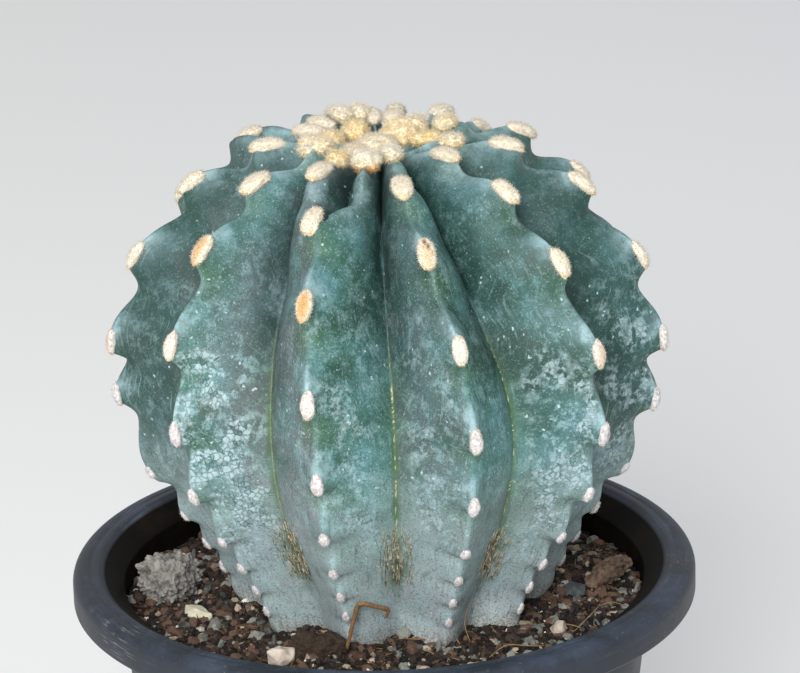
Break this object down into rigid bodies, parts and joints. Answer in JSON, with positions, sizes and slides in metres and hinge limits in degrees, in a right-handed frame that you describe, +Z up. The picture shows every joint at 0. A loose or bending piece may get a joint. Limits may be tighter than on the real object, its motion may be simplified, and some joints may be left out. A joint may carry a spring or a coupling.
{
  "type": "potted blue barrel cactus",
  "caption": "Ribbed, spineless blue-green barrel cactus with felted areoles and a woolly crown, in gritty soil in a round plastic nursery pot.",
  "frame": {"origin": "centre of the pot's foot, on the surface it stands on", "axes": "+Z up through the pot and the cactus; -Y is the side that faces the viewer in the picture; +X is to the right"},
  "size_m": [0.15, 0.15, 0.2282],
  "materials": {
    "pot_plastic": "satin, dusty",
    "soil_mix": "rough grit and humus",
    "cactus_skin": "waxy blue-green bloom",
    "crown_wool": "matte felt",
    "pumice": "rough",
    "flint": "satin",
    "pale_stone": "rough",
    "dark_stone": "satin",
    "bark": "rough",
    "dry_wood": "matte"
  },
  "bodies": {
    "root": {"pot": "pot_plastic", "soil": "soil_mix", "stem": "cactus_skin", "crown_wool": "crown_wool", "dry_twig": "dry_wood", "pumice_stone": "pumice", "flint_stone": "flint", "wedge_stone": "pale_stone", "bark_chip": "bark", "dark_pebble": "dark_stone", "pale_pebble": "pale_stone"}
  },
  "joints": []
}
